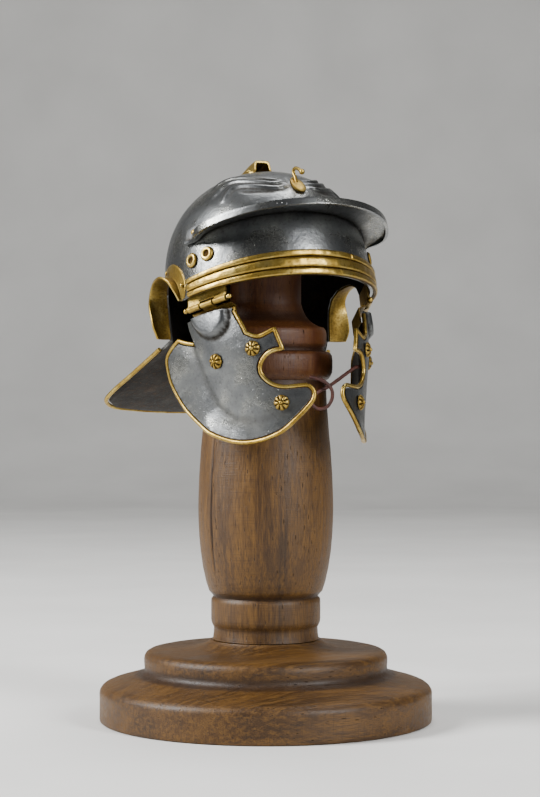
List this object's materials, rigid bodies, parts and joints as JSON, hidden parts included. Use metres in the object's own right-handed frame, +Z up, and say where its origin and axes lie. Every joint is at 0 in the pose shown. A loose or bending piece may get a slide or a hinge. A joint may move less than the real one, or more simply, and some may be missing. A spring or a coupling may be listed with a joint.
{
  "type": "miniature roman legionary helmet on a turned wooden stand",
  "caption": "Doll-sized tinned helmet with brass brow band, brow and neck guards, ear guards and hinged cheek guards tied under the chin, on a turned wooden stand.",
  "frame": {"origin": "middle of the stand's foot, on its underside", "axes": "+Z up, the helmet looks along -Y, the wearer's right is -X"},
  "size_m": [0.058, 0.058, 0.0977],
  "materials": {
    "tinned_iron": "satin, lightly pitted",
    "brass": "antiqued, brown in the recesses",
    "wood": "oiled, open pores",
    "leather": "matt"
  },
  "bodies": {
    "root": {"brow_band": "brass", "brow_guard": "tinned_iron", "brow_guard_rivet_left": "brass", "brow_guard_rivet_right": "brass", "cheek_edging_left": "brass", "cheek_edging_right": "brass", "cheek_plate_left": "tinned_iron", "cheek_plate_right": "tinned_iron", "cheek_rosette_left_1": "brass", "cheek_rosette_left_2": "brass", "cheek_rosette_left_3": "brass", "cheek_rosette_right_1": "brass", "cheek_rosette_right_2": "brass", "cheek_rosette_right_3": "brass", "chin_tie": "leather", "crest_holder": "brass", "crest_hook_front": "brass", "crest_rivet_1": "brass", "crest_rivet_2": "brass", "crest_rivet_3": "brass", "crest_rivet_4": "brass", "ear_guard_left": "brass", "ear_guard_right": "brass", "eyelet_left_1": "brass", "eyelet_left_2": "brass", "eyelet_right_1": "brass", "eyelet_right_2": "brass", "hinge_lower_left": "brass", "hinge_lower_right": "brass", "hinge_pin_left": "brass", "hinge_pin_right": "brass", "hinge_upper_left": "brass", "hinge_upper_right": "brass", "neck_guard_edging": "brass", "neck_guard_rivet_left": "brass", "neck_guard_rivet_right": "brass", "skull_bowl": "tinned_iron", "stand_base": "wood", "stand_column": "wood"}
  },
  "joints": []
}
